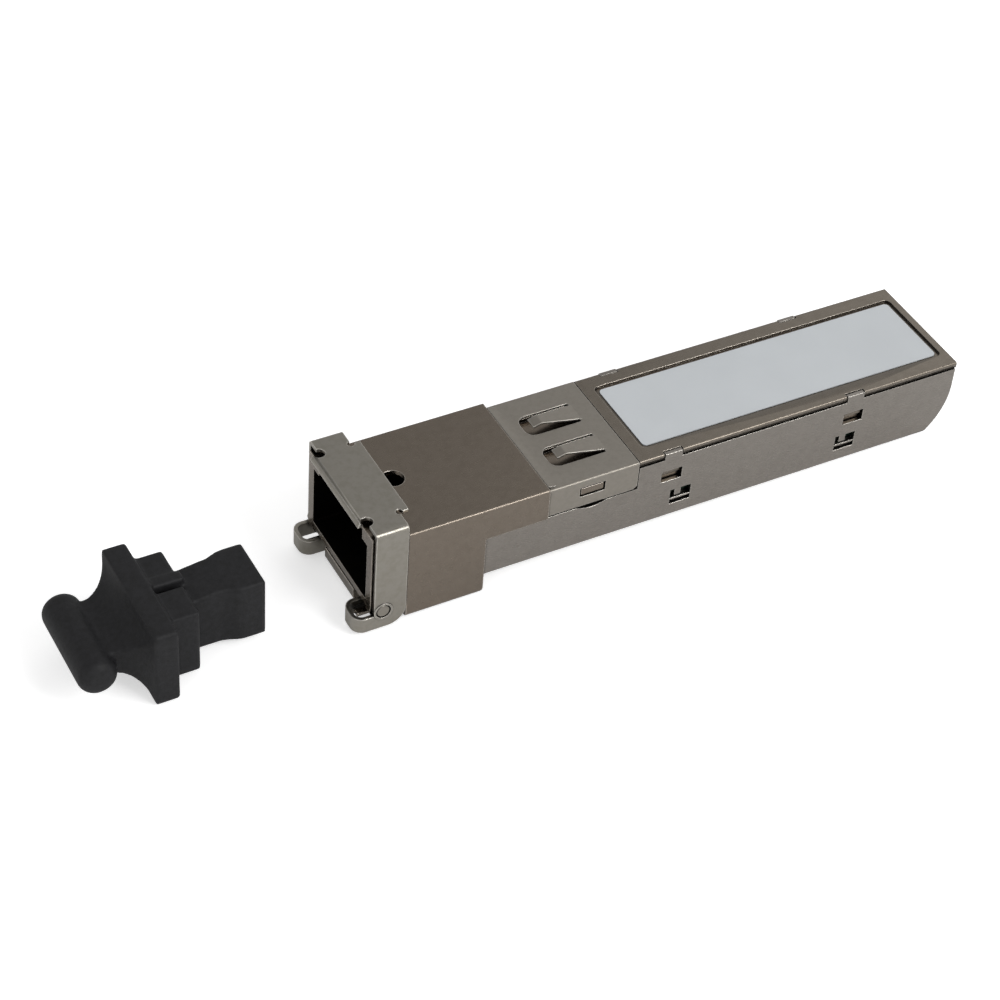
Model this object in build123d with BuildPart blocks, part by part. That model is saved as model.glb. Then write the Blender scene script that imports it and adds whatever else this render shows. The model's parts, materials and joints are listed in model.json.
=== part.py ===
from build123d import *
import os

os.makedirs("parts", exist_ok=True)

# Small pluggable transceiver with a modular jack, and its dust plug taken off.
# X runs from the jack towards the card edge, Z up. The origin is on the centre line,
# level with the underside of the plug-in section, at the shoulder that stops in the cage.

# Plug-in section
body_width = 13.4
body_height = 8.5
body_length = 47.5
shell_wall = 0.45
shell_bend_radius = 0.35
shell_front = 6.59
shell_front_height = 5.0
shell_rear_gap = 0.1
shell_bottom_rear_setback = 2.6
shell_slope_middle_setback = 0.77
shell_slope_middle_height = 2.32
shell_corner_height = 5.4

# Gaps between pieces
seat_gap = 0.06
running_gap = 0.1
sheet_gap = 0.08
label_end_gap = 0.42
label_side_gap = 0.4
board_side_gap = 0.35
cut_margin = 1.0

# Front housing
housing_width = 13.98
housing_top = 8.86
housing_bottom = -1.94
housing_edge_radius = 0.15
housing_bottom_radius = 0.5
snout_rear_radius = 0.7
snout_rear = 6.67
frame_front = 18.75
frame_depth = 3.8
frame_width = 13.8
frame_top = 9.5
frame_strip = 0.9
frame_recess = 0.45
housing_tail = 9.8
housing_box_rear = 2.0
housing_box_floor_gap = 0.15
tail_roof = 0.75
tail_side = 0.8
top_hole_radius = 1.12
top_hole_forward = 12.9
top_hole_side = 0.7

# Jack opening
port_width = 11.66
port_floor = 1.15
port_floor_thickness = 0.7
port_height = 6.87
key_width = 9.46
key_top = 9.16
key_roof = 0.5

# Shielding collar
collar_length = 9.94
collar_sheet = 0.2
collar_low = 5.15
collar_strip = 1.1
collar_strip_rise = 0.22
collar_chamfer = 0.4
finger_side = 2.45
finger_root = 7.85
finger_crest = 3.8
finger_crest_height = 0.55
finger_tip = 2.9
finger_tip_rise = 0.2
finger_bend_radius = 0.6
finger_root_width = 2.2
finger_tip_width = 1.25
finger_hollow = 0.45
slot_front = 2.0
slot_width = 2.9
slot_radius = 1.0
slot_rear_radius = 0.15
collar_window_front = 3.5
collar_window_length = 2.8
collar_window_low = 6.45
collar_window_height = 1.15
collar_catch_out = 0.28
dip_front = 3.3
dip_length = 3.3
dip_depth = 0.37

# Top cover and label
cover_sheet = 0.4
cover_lip = 0.62
cover_lip_gap = 0.15
cover_flange_low = 4.4
cover_edge_radius = 0.18
recess_front = 11.3
recess_length = 35.5
recess_width = 9.9
recess_depth = 0.25
recess_radius = 0.6
label_thickness = 0.1
label_radius = 0.45

# Tabs, windows and board shelves, measured along the plug-in section
tab_fronts = (12.95, 34.2)
tab_length = 1.95
tab_top_drop = 0.04
catch_window_fronts = (12.75, 34.05)
catch_window_length = 2.35
catch_window_low = 4.85
catch_window_height = 1.38
catch_out = 0.3
catch_height = 0.85
shelf_window_fronts = (14.05, 33.5)
shelf_window_length = 2.38
shelf_window_low = 1.58
shelf_window_height = 1.85
shelf_reach = 1.3
shelf_sheet = 0.2
tooth_length = 0.7
tooth_from_front = 0.5
tooth_drop = 0.8

# Latch boss and slide
boss_shoulder = 2.5
boss_width = 2.6
boss_height = 0.45
boss_length = 2.6
boss_flat = 0.7
slide_width = 6.3
slide_travel = 1.8
slide_front = 18.7
slide_low = -1.5
slide_sheet = 1.0
slide_front_radius = 0.4
slide_lip = 0.8
slide_lip_top = -0.05
slide_rail_out = 0.4
slide_rail_height = 0.45
slide_riser_front = 5.6
slide_riser_length = 1.0
slide_tongue_rear = 0.4
slide_tongue_sheet = 0.4
slide_finger_length = 1.3
slide_finger_wedge = 0.24
ear_front = 17.1
ear_length = 0.9
ear_hook_front = 19.45
ear_hook_inner = 4.95
ear_hook_outer = 5.65
ear_hook_low = -1.2
ear_hook_sheet = 0.4

# Bail
bail_sheet = 0.4
bail_outside = 14.8
bail_top = 10.43
bail_bend_radius = 0.5
arm_front = 18.55
arm_rear = 15.2
arm_low = -1.7
arm_corner_radius = 1.9
plate_front = 19.45
plate_rear = 14.24
plate_width = 10.4
plate_lip = 0.55
plate_front_notch = 0.62
plate_rear_notch = 0.35
pivot_forward = 17.6
pivot_height = 0.4
pivot_pin_radius = 0.7
pivot_pin_clearance = 0.08
pivot_pin_depth = 0.9
pivot_ring_radius = 0.98
pivot_ring_height = 0.08
lug_radius = 1.2
loop_high = 0.0
loop_front = 20.5
loop_inner = 4.3
loop_corner_radius = 1.15
loop_tail = 17.95

# Jack insert and contacts
insert_front = 13.9
insert_floor = 0.78
insert_block_front = 6.9
insert_block_rear = 2.9
insert_comb_depth = 0.9
insert_comb_top = 4.6
contact_count = 8
contact_pitch = 1.02
contact_width = 0.4
contact_thickness = 0.3
contact_groove = 0.56
contact_bend_forward = 13.3
contact_tip_forward = 6.4
contact_tip_height = 3.7
contact_riser = 1.6

# Circuit board
board_low = 2.25
board_thickness = 1.0
board_front = 1.9
board_rear = 44.3
board_neck_width = 9.2
board_neck_front = 36.8
board_corner_radius = 0.5
board_edge_bevel = 0.3
pad_count = 10
pad_pitch = 0.8
pad_width = 0.5
pad_length = 3.4
pad_setback = 0.5
pad_thickness = 0.04

# Parts on the board, each as front, side, length, width and height
transformer_size = (1.2, 0.0, 11.2, 9.2, 3.5)
network_chip_size = (18.0, 0.0, 8.0, 8.0, 0.9)
memory_size = (31.2, -2.6, 3.0, 3.0, 0.8)
regulator_size = (27.4, 3.0, 3.0, 3.0, 0.9)
inductor_size = (27.2, -2.6, 3.0, 3.0, 1.4)
crystal_size = (31.4, 2.8, 3.2, 2.5, 0.8)
choke_front = 13.4
choke_length = 3.0
choke_width = 1.6
choke_height = 1.5
choke_count = 4
choke_pitch = 2.6
capacitor_size = (1.6, 0.8, 0.8)
capacitor_places = ((17.0, 4.8), (20.0, 4.8), (23.0, 4.8), (17.0, -4.8), (20.0, -4.8), (23.0, -4.8))
resistor_size = (1.0, 0.5, 0.35)
resistor_count = 6
resistor_front = 35.6
resistor_pitch = 1.4
pad_margin = 0.4
package_bevel = 0.1

# Dust plug
plug_plate_front = 38.0
plug_plate_thickness = 2.35
plug_plate_width = 13.1
plug_plate_height = 8.9
plug_plate_radius = 0.5
plug_side = -0.36
plug_rest = -3.13
plug_neck_width = 7.5
plug_neck_height = 2.8
plug_flare_length = 3.1
plug_flare_radius = 3.4
plug_bar_radius = 1.95
plug_bar_length = 11.0
plug_bar_forward = 45.25
plug_bar_round = 1.15
plug_shoulder_length = 2.9
plug_shoulder_width = 9.15
plug_shoulder_height = 6.7
plug_shoulder_radius = 0.4
plug_slot_width = 1.16
plug_slot_depth = 1.4
plug_nose_length = 7.3
plug_nose_root_width = 4.7
plug_nose_tip_width = 5.9
plug_nose_height = 6.4
plug_nose_radius = 0.3
plug_swell_start = 2.8
plug_swell_end = 5.25

# Worked-out places
body_half = body_width / 2
shell_inner_half = body_half - shell_wall
frame_back = frame_front - frame_depth
frame_half = frame_width / 2
band_low = shell_front_height + sheet_gap
box_half = shell_inner_half - running_gap
box_low = shell_wall + housing_box_floor_gap
collar_under = body_height - collar_sheet
tail_half = body_half - collar_sheet - running_gap
tail_top = collar_under - seat_gap
tail_low = collar_low + seat_gap
collar_front = seat_gap
collar_rear = collar_front + collar_length
port_top = port_floor + port_height
floor_under = port_floor - port_floor_thickness
cover_front = collar_rear + running_gap
flange_outer_half = shell_inner_half - sheet_gap
flange_inner_half = flange_outer_half - cover_sheet
cover_lip_low = body_height - cover_lip
shell_side_height = cover_lip_low - cover_lip_gap
cover_under = body_height - cover_sheet
recess_floor = body_height - recess_depth
recess_under = cover_under - recess_depth
label_length = recess_length - 2 * label_end_gap
label_width = recess_width - 2 * label_side_gap
board_width = 2 * (shell_inner_half - board_side_gap)
board_top = board_low + board_thickness
arm_inner_half = bail_outside / 2 - bail_sheet
slide_half = slide_width / 2
finger_inner_half = boss_width / 2 + running_gap + seat_gap
plug_middle = plug_rest + plug_plate_height / 2


def slab(x_low, x_high, half_width, z_low, z_high, mode=Mode.ADD):
    """A block centred on the middle plane."""
    with Locations(((x_low + x_high) / 2, 0, (z_low + z_high) / 2)):
        Box(x_high - x_low, 2 * half_width, z_high - z_low, mode=mode)


def side_slabs(x_low, x_high, y_low, y_high, z_low, z_high, mode=Mode.ADD):
    """A pair of blocks, one on each side of the middle plane."""
    middle = (y_low + y_high) / 2
    for side in (-1, 1):
        with Locations(((x_low + x_high) / 2, side * middle, (z_low + z_high) / 2)):
            Box(x_high - x_low, y_high - y_low, z_high - z_low, mode=mode)


def finish(part, name):
    part.label = name
    export_step(part, f"parts/{name}.step")


# Front housing: one casting, with the jack frame, snout, upper band and collar tail
with BuildPart() as front_housing:
    with BuildSketch(Plane.YZ.offset(-frame_front)):
        with Locations((0, (floor_under + frame_top) / 2)):
            Rectangle(frame_width, frame_top - floor_under)
    extrude(amount=frame_depth)
    with BuildSketch(Plane.YZ.offset(-frame_back)) as snout_outline:
        with Locations((0, (housing_bottom + housing_top) / 2)):
            Rectangle(housing_width, housing_top - housing_bottom)
        fillet(snout_outline.vertices().group_by(Axis.Y)[-1], radius=housing_edge_radius)
        fillet(snout_outline.vertices().group_by(Axis.Y)[0], radius=housing_bottom_radius)
    extrude(amount=frame_back - snout_rear)
    # the snout's lower rear corner is rounded
    with BuildSketch(Plane.XZ.offset(-housing_width / 2)):
        with Locations((-snout_rear - snout_rear_radius / 2, housing_bottom + snout_rear_radius / 2)):
            Rectangle(snout_rear_radius, snout_rear_radius)
        with Locations((-snout_rear - snout_rear_radius, housing_bottom + snout_rear_radius)):
            Circle(snout_rear_radius, mode=Mode.SUBTRACT)
    extrude(amount=housing_width, mode=Mode.SUBTRACT)
    with BuildSketch(Plane.YZ.offset(-snout_rear)) as band_outline:
        with Locations((0, (band_low + housing_top) / 2)):
            Rectangle(housing_width, housing_top - band_low)
        fillet(band_outline.vertices().group_by(Axis.Y)[-1], radius=housing_edge_radius)
        with Locations((0, (box_low + band_low) / 2)):
            Rectangle(2 * box_half, band_low - box_low)
    extrude(amount=snout_rear)
    slab(-housing_box_rear, 0, box_half, box_low, band_low, mode=Mode.SUBTRACT)
    with BuildSketch(Plane.YZ):
        with Locations((0, (tail_low + tail_top) / 2)):
            Rectangle(2 * tail_half, tail_top - tail_low)
    extrude(amount=housing_tail)
    # the jack cavity runs through to the board behind it
    with BuildSketch(Plane.YZ.offset(-frame_front)):
        with Locations((0, (port_floor + port_top) / 2)):
            Rectangle(port_width, port_height)
    extrude(amount=frame_front - housing_box_rear, mode=Mode.SUBTRACT)
    key_deep_top = housing_top - key_roof
    slab(-frame_front, -frame_back, key_width / 2, port_top, key_top, mode=Mode.SUBTRACT)
    slab(-frame_back, -insert_block_front, key_width / 2, port_top, key_deep_top, mode=Mode.SUBTRACT)
    # the tail and the box behind the jack are open below, over the board
    slab(-housing_box_rear, housing_tail, tail_half - tail_side, box_low, tail_top - tail_roof,
         mode=Mode.SUBTRACT)
    # hollows in the tail's top let the collar's fingers flex
    with Locations([((slot_front + finger_root) / 2, side * finger_side, tail_top) for side in (-1, 1)]):
        Box(finger_root - slot_front, slot_width, 2 * finger_hollow, mode=Mode.SUBTRACT)
    # recesses beside the frame, behind its front strip
    side_slabs(-frame_front + frame_strip, -frame_back, frame_half - frame_recess, frame_half,
               floor_under, frame_top, mode=Mode.SUBTRACT)
    # pivot lugs
    with BuildSketch(Plane.XZ.offset(frame_half)):
        with Locations((-pivot_forward, pivot_height)):
            Circle(lug_radius)
    extrude(amount=-(frame_half - port_width / 2))
    with BuildSketch(Plane.XZ.offset(-frame_half)):
        with Locations((-pivot_forward, pivot_height)):
            Circle(lug_radius)
    extrude(amount=frame_half - port_width / 2)
    for side in (-1, 1):
        with BuildSketch(Plane.XZ.offset(side * frame_half)):
            with Locations((-pivot_forward, pivot_height)):
                Circle(pivot_pin_radius)
        extrude(amount=-side * pivot_pin_depth, mode=Mode.SUBTRACT)
    # round hole in the roof
    with Locations((-top_hole_forward, top_hole_side, housing_top)):
        Cylinder(top_hole_radius, 2 * (housing_top - port_top), mode=Mode.SUBTRACT)
    # channel for the latch slide, its rail grooves, and room for the slide's ears
    channel_half = slide_half + running_gap
    rail_half = slide_half + slide_rail_out + running_gap
    rail_low = slide_low + (slide_sheet - slide_rail_height) / 2
    slab(-frame_back, -snout_rear, channel_half, housing_bottom, floor_under, mode=Mode.SUBTRACT)
    slab(-frame_back, -snout_rear, rail_half, rail_low - running_gap,
         rail_low + slide_rail_height + running_gap, mode=Mode.SUBTRACT)
    ear_stop = ear_front - ear_length - slide_travel - 2 * running_gap
    slab(-frame_back, -ear_stop, ear_hook_outer + running_gap, housing_bottom,
         slide_low + slide_sheet + 2 * running_gap, mode=Mode.SUBTRACT)
    # catches that hold the collar
    side_slabs(collar_window_front + running_gap,
               collar_window_front + collar_window_length - running_gap,
               tail_half, tail_half + collar_catch_out, collar_window_low + running_gap,
               collar_window_low + collar_window_height - running_gap)
finish(front_housing.part, "front_housing")

# Lower shell: one folded sheet, open at the top and at the card edge end
with BuildPart() as lower_shell:
    shell_rear = body_length - shell_rear_gap
    with BuildSketch(Plane.YZ.offset(-shell_front)):
        with Locations((0, shell_side_height / 2)):
            Rectangle(body_width, shell_side_height)
    extrude(amount=shell_rear + shell_front)
    fillet(lower_shell.edges().filter_by(Axis.X).group_by(Axis.Z)[0], radius=shell_bend_radius)
    slab(-shell_front, 0, body_half, shell_front_height, shell_side_height, mode=Mode.SUBTRACT)
    fillet([e for e in lower_shell.edges().filter_by(Axis.Y)
            if abs(e.center().Z - shell_front_height) < 0.01 and abs(e.center().X + shell_front) < 0.01],
           radius=shell_bend_radius)
    slab(-shell_front, shell_rear, shell_inner_half, shell_wall, body_height, mode=Mode.SUBTRACT)
    # the sides stay low under the collar
    shell_low_top = collar_low - sheet_gap
    slab(0, cover_front, body_half, shell_low_top, body_height, mode=Mode.SUBTRACT)
    # tabs that rise through the cover's notches
    for tab_front in tab_fronts:
        side_slabs(tab_front, tab_front + tab_length, shell_inner_half, body_half,
                   shell_side_height, body_height - tab_top_drop)
    # the rear ends slope back towards the bottom
    with BuildSketch(Plane.XZ.offset(-body_half)):
        with BuildLine():
            slope_top = (shell_rear, shell_corner_height)
            slope_mid = (shell_rear - shell_slope_middle_setback, shell_slope_middle_height)
            slope_end = (shell_rear - shell_bottom_rear_setback, 0)
            ThreePointArc(slope_top, slope_mid, slope_end)
            Polyline(slope_end, (shell_rear + cut_margin, 0),
                     (shell_rear + cut_margin, shell_corner_height), slope_top)
        make_face()
    extrude(amount=body_width, mode=Mode.SUBTRACT)
    # catch windows and shelf windows through both sides
    for window_front in catch_window_fronts:
        slab(window_front, window_front + catch_window_length, body_half, catch_window_low,
             catch_window_low + catch_window_height, mode=Mode.SUBTRACT)
    for window_front in shelf_window_fronts:
        window_rear = window_front + shelf_window_length
        slab(window_front, window_rear, body_half, shelf_window_low,
             shelf_window_low + shelf_window_height, mode=Mode.SUBTRACT)
        # a shelf under the board, and a tooth down from the window's top
        side_slabs(window_front, window_rear, body_half - shelf_reach, body_half - seat_gap,
                   board_low - shelf_sheet, board_low)
        tooth_front = window_front + tooth_from_front
        window_top = shelf_window_low + shelf_window_height
        side_slabs(tooth_front, tooth_front + tooth_length, shell_inner_half, body_half,
                   window_top - tooth_drop, window_top)
    # slot under the front for the latch slide, with the boss between its fingers
    slot_half = slide_half + running_gap
    slot_rear = -slide_tongue_rear + slide_finger_length + slide_travel + 4 * running_gap
    notch_rear = -slide_tongue_rear + slide_travel + 4 * running_gap
    slab(-shell_front, notch_rear, slot_half, 0, shell_wall, mode=Mode.SUBTRACT)
    side_slabs(notch_rear, slot_rear, finger_inner_half - seat_gap, slot_half, 0, shell_wall,
               mode=Mode.SUBTRACT)
    with BuildSketch(Plane.XZ.offset(-boss_width / 2)):
        with BuildLine():
            Polyline((boss_shoulder, seat_gap), (boss_shoulder, -boss_height),
                     (boss_shoulder + boss_flat, -boss_height), (boss_shoulder + boss_length, seat_gap),
                     close=True)
        make_face()
    extrude(amount=boss_width)
    # shallow dip in each upper edge, under the collar's side
    dip_radius = (dip_length ** 2 / 4 + dip_depth ** 2) / (2 * dip_depth)
    with Locations((dip_front + dip_length / 2, 0, shell_low_top - dip_depth + dip_radius)):
        Cylinder(dip_radius, body_width, rotation=(90, 0, 0), mode=Mode.SUBTRACT)
finish(lower_shell.part, "lower_shell")

# Sprung finger of the shielding collar: it rises from its root and turns down over its crest
with BuildPart() as collar_finger:
    crest_height = body_height + finger_crest_height
    finger_rear = finger_root + collar_sheet
    with BuildLine(Plane.XZ) as finger_line:
        FilletPolyline((finger_rear, body_height - collar_sheet / 2),
                       (finger_crest, crest_height - collar_sheet / 2),
                       (finger_tip, body_height + finger_tip_rise), radius=finger_bend_radius)
    with BuildSketch(Plane(finger_line.line @ 0, z_dir=finger_line.line % 0, x_dir=(0, 1, 0))):
        Rectangle(finger_root_width, collar_sheet)
    sweep(path=finger_line.line)
    with BuildSketch(Plane.XY.offset(collar_under)):
        with BuildLine():
            root_side = finger_root_width / 2
            tip_side = finger_tip_width / 2
            Polyline((finger_rear, -root_side), (finger_root, -root_side), (finger_crest, -tip_side),
                     (slot_front, -tip_side), (slot_front, tip_side), (finger_crest, tip_side),
                     (finger_root, root_side), (finger_rear, root_side), close=True)
        make_face()
    extrude(amount=collar_sheet + 2 * finger_crest_height, mode=Mode.INTERSECT)

# Shielding collar: sheet over the top and sides, with two fingers lanced from its top
with BuildPart() as emi_collar:
    with BuildSketch(Plane.YZ.offset(collar_front)):
        with Locations((0, (collar_low + body_height) / 2)):
            Rectangle(body_width, body_height - collar_low)
    extrude(amount=collar_length)
    fillet(emi_collar.edges().filter_by(Axis.X).group_by(Axis.Z)[-1], radius=collar_sheet)
    slab(collar_front, collar_rear, body_half - collar_sheet, collar_low, collar_under, mode=Mode.SUBTRACT)
    chamfer([e for e in emi_collar.edges().filter_by(Axis.Y)
             if abs(e.center().Z - collar_low) < 0.01 and e.center().X > collar_rear - 0.01],
            length=collar_chamfer)
    # the front strip of the top tilts up towards the housing
    slab(collar_front, collar_strip, body_half - 2 * collar_sheet, collar_under, body_height,
         mode=Mode.SUBTRACT)
    with BuildSketch(Plane.XZ.offset(-(body_half - 2 * collar_sheet))):
        with BuildLine():
            Polyline((collar_front, collar_under + collar_strip_rise), (collar_strip, collar_under),
                     (collar_strip, body_height), (collar_front, body_height + collar_strip_rise),
                     close=True)
        make_face()
    extrude(amount=body_width - 4 * collar_sheet)
    # a rounded slot round each finger
    with BuildSketch(Plane.XY.offset(collar_under)) as finger_slots:
        with Locations([((slot_front + finger_root) / 2, side * finger_side) for side in (-1, 1)]):
            Rectangle(finger_root - slot_front, slot_width)
        fillet(finger_slots.vertices().group_by(Axis.X)[0], radius=slot_radius)
        fillet(finger_slots.vertices().group_by(Axis.X)[-1], radius=slot_rear_radius)
    extrude(amount=collar_sheet, mode=Mode.SUBTRACT)
    slab(collar_window_front, collar_window_front + collar_window_length, body_half,
         collar_window_low, collar_window_low + collar_window_height, mode=Mode.SUBTRACT)
    with Locations([(0, side * finger_side, 0) for side in (-1, 1)]):
        add(collar_finger.part)
finish(emi_collar.part, "emi_collar")

# Top cover: sheet with a joggled flange inside each side of the shell
with BuildPart() as top_cover:
    with BuildSketch(Plane.YZ.offset(cover_front)):
        with BuildLine():
            lip_half = body_half - seat_gap
            half_outline = [(0, body_height), (lip_half, body_height), (lip_half, cover_lip_low),
                            (flange_outer_half, cover_lip_low), (flange_outer_half, cover_flange_low),
                            (flange_inner_half, cover_flange_low), (flange_inner_half, cover_under),
                            (0, cover_under)]
            Polyline(*half_outline, close=True)
        make_face()
        mirror(about=Plane.YZ)
    extrude(amount=body_length - cover_front)
    fillet(top_cover.edges().filter_by(Axis.X).group_by(Axis.Z)[-1], radius=cover_edge_radius)
    # pressed recess for the label
    recess_middle = recess_front + recess_length / 2
    with BuildSketch(Plane.XY.offset(cover_under)):
        with Locations((recess_middle, 0)):
            Rectangle(recess_length + cover_sheet, recess_width + cover_sheet)
    extrude(amount=-recess_depth)
    with BuildSketch(Plane.XY.offset(recess_floor)):
        with Locations((recess_middle, 0)):
            RectangleRounded(recess_length, recess_width, recess_radius)
    extrude(amount=recess_depth, mode=Mode.SUBTRACT)
    # notches for the shell's tabs
    for tab_front in tab_fronts:
        side_slabs(tab_front - running_gap, tab_front + tab_length + running_gap,
                   shell_inner_half - running_gap, body_half, cover_lip_low, body_height,
                   mode=Mode.SUBTRACT)
    # catches that snap into the shell's windows
    for window_front in catch_window_fronts:
        catch_low = catch_window_low + catch_window_height - seat_gap - catch_height
        with BuildSketch(Plane.YZ.offset(window_front + 2 * running_gap)):
            with BuildLine():
                catch_face = flange_outer_half + catch_out
                Polyline((flange_outer_half, catch_low), (catch_face, catch_low + catch_out),
                         (catch_face, catch_low + catch_height),
                         (flange_outer_half, catch_low + catch_height), close=True)
            make_face()
            mirror(about=Plane.YZ)
        extrude(amount=catch_window_length - 4 * running_gap)
finish(top_cover.part, "top_cover")

# Label
with BuildPart() as label:
    with BuildSketch(Plane.XY.offset(recess_floor)):
        with Locations((recess_middle, 0)):
            RectangleRounded(label_length, label_width, label_radius)
    extrude(amount=label_thickness)
finish(label.part, "label")

# Bail: one folded sheet, with a top plate, two arms and a rolled loop at each foot
with BuildPart() as bail:
    with BuildSketch(Plane.YZ.offset(-arm_front)):
        with Locations((0, (arm_low + bail_top) / 2)):
            Rectangle(bail_outside, bail_top - arm_low)
    extrude(amount=arm_front - arm_rear)
    fillet(bail.edges().filter_by(Axis.X).group_by(Axis.Z)[-1], radius=bail_bend_radius)
    with BuildSketch(Plane.YZ.offset(-arm_front)):
        with Locations((0, (arm_low + bail_top - bail_sheet) / 2)):
            Rectangle(2 * arm_inner_half, bail_top - bail_sheet - arm_low)
    extrude(amount=arm_front - arm_rear, mode=Mode.SUBTRACT)
    fillet([e for e in bail.edges().filter_by(Axis.Y)
            if abs(e.center().Z - arm_low) < 0.01 and e.center().X > -arm_rear - 0.01],
           radius=arm_corner_radius)
    # the plate reaches past the arms to the front and rear, and its front edge turns down
    slab(-plate_front + plate_lip, -plate_rear, plate_width / 2, bail_top - bail_sheet, bail_top)
    with BuildSketch(Plane.XZ.offset(-plate_width / 2)):
        with Locations((-plate_front + plate_lip, bail_top - plate_lip)):
            Circle(plate_lip)
            Circle(plate_lip - bail_sheet, mode=Mode.SUBTRACT)
            with Locations((plate_lip / 2, 0)):
                Rectangle(plate_lip, 2 * plate_lip, mode=Mode.SUBTRACT)
            with Locations((0, -plate_lip)):
                Rectangle(2 * plate_lip, 2 * plate_lip, mode=Mode.SUBTRACT)
    extrude(amount=plate_width)
    with BuildSketch(Plane.XY.offset(bail_top - bail_sheet)):
        for side in (-1, 1):
            for notch_place, notch_radius in ((arm_front, plate_front_notch), (arm_rear, plate_rear_notch)):
                with Locations((-notch_place, side * plate_width / 2)):
                    Circle(notch_radius)
    extrude(amount=bail_sheet, mode=Mode.SUBTRACT)
    # a rolled loop runs forward from each arm and back inside it
    loop_outer = bail_outside / 2
    loop_place = (loop_outer + loop_inner) / 2
    loop_width = loop_outer - loop_inner
    loop_length = 2 * (loop_front - loop_tail)
    for side in (-1, 1):
        with BuildSketch(Plane.XY.offset(arm_low)):
            with Locations((-loop_tail, side * loop_place)):
                RectangleRounded(loop_length, loop_width, loop_corner_radius)
                RectangleRounded(loop_length - 2 * bail_sheet, loop_width - 2 * bail_sheet,
                                 loop_corner_radius - bail_sheet, mode=Mode.SUBTRACT)
            with Locations((-loop_tail + loop_length / 4, side * loop_place)):
                Rectangle(loop_length / 2, loop_width, mode=Mode.SUBTRACT)
        extrude(amount=loop_high - arm_low)
    # pivot holes, each with a coined ring round it
    for side in (-1, 1):
        with BuildSketch(Plane.XZ.offset(-side * bail_outside / 2)):
            with Locations((-pivot_forward, pivot_height)):
                Circle(pivot_ring_radius)
        extrude(amount=-side * pivot_ring_height)
        with BuildSketch(Plane.XZ.offset(-side * (bail_outside / 2 + pivot_ring_height))):
            with Locations((-pivot_forward, pivot_height)):
                Circle(pivot_pin_radius + pivot_pin_clearance)
        extrude(amount=side * (bail_sheet + pivot_ring_height), mode=Mode.SUBTRACT)
finish(bail.part, "bail")

# Pivot pins, one on each side
for side, name in ((-1, "pivot_pin_near"), (1, "pivot_pin_far")):
    with BuildPart() as pivot_pin:
        with BuildSketch(Plane.XZ.offset(-side * (frame_half - pivot_pin_depth))):
            with Locations((-pivot_forward, pivot_height)):
                Circle(pivot_pin_radius)
        extrude(amount=-side * (bail_outside / 2 - frame_half + pivot_pin_depth + pivot_ring_height / 2))
        chamfer(pivot_pin.edges().filter_by(GeomType.CIRCLE).group_by(Axis.Y)[0 if side < 0 else -1],
                length=pivot_ring_height)
    finish(pivot_pin.part, name)

# Latch slide: plate under the snout, stepping up to two wedge fingers beside the boss
with BuildPart() as latch_slide:
    plate_high = slide_low + slide_sheet
    tongue_low = seat_gap
    tongue_high = tongue_low + slide_tongue_sheet
    riser_rear = slide_riser_front - slide_riser_length
    slab(-slide_front, -riser_rear, slide_half, slide_low, plate_high)
    slab(-slide_front, -slide_front + slide_lip, slide_half, slide_low, slide_lip_top)
    slab(-slide_riser_front, -riser_rear, slide_half, slide_low, tongue_high)
    slab(-slide_riser_front, -slide_tongue_rear, slide_half, tongue_low, tongue_high)
    slab(-frame_back + slide_travel, -snout_rear - slide_travel, slide_half + slide_rail_out,
         rail_low, rail_low + slide_rail_height)
    slab(-ear_front, -ear_front + ear_length, ear_hook_outer, slide_low, plate_high)
    # each ear reaches forward into the bail's loop
    side_slabs(-ear_hook_front, -ear_front, ear_hook_inner, ear_hook_outer,
               ear_hook_low, ear_hook_low + ear_hook_sheet)
    finger_rear = -slide_tongue_rear + slide_finger_length
    side_slabs(-slide_tongue_rear, finger_rear, finger_inner_half, slide_half,
               tongue_low, tongue_high)
    chamfer([e for e in latch_slide.edges().filter_by(Axis.Y)
             if abs(e.center().X - finger_rear) < 0.01 and abs(e.center().Z - tongue_low) < 0.01],
            length=slide_finger_wedge)
    fillet([e for e in latch_slide.edges().filter_by(Axis.Y)
            if abs(e.center().X + slide_front) < 0.01 and abs(e.center().Z - slide_low) < 0.01],
           radius=slide_front_radius)
finish(latch_slide.part, "latch_slide")

# Jack insert: moulded floor with a groove for each contact, and a comb block behind
with BuildPart() as jack_insert:
    insert_half = port_width / 2 - running_gap
    insert_low = port_floor + seat_gap
    insert_top = port_top - running_gap
    slab(-insert_front, -insert_block_rear, insert_half, insert_low, insert_low + insert_floor)
    slab(-insert_block_front, -insert_block_rear, insert_half, insert_low, insert_top)
    groove_low = insert_low + seat_gap
    for index in range(contact_count):
        place = (index - (contact_count - 1) / 2) * contact_pitch
        with Locations((0, place, 0)):
            slab(-insert_front + contact_thickness, -insert_block_rear, contact_groove / 2,
                 groove_low, insert_low + insert_floor, mode=Mode.SUBTRACT)
            slab(-insert_block_front, -insert_block_front + insert_comb_depth, contact_groove / 2,
                 groove_low, insert_comb_top, mode=Mode.SUBTRACT)
finish(jack_insert.part, "jack_insert")

# Jack contacts: sprung wires that lie in the grooves and bend back up into the jack
with BuildPart() as jack_contact:
    wire_level = groove_low + seat_gap + contact_thickness / 2
    with BuildLine(Plane.XZ) as wire_line:
        FilletPolyline((-contact_riser, board_low), (-contact_riser, wire_level),
                       (-contact_bend_forward, wire_level), (-contact_tip_forward, contact_tip_height),
                       radius=contact_thickness * 0.8)
    with BuildSketch(Plane(wire_line.line @ 0, z_dir=wire_line.line % 0, x_dir=(0, 1, 0))):
        Rectangle(contact_width, contact_thickness)
    sweep(path=wire_line.line)
with BuildPart() as jack_contacts:
    with Locations([(0, (index - (contact_count - 1) / 2) * contact_pitch, 0)
                    for index in range(contact_count)]):
        add(jack_contact.part)
finish(jack_contacts.part, "jack_contacts")

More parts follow.
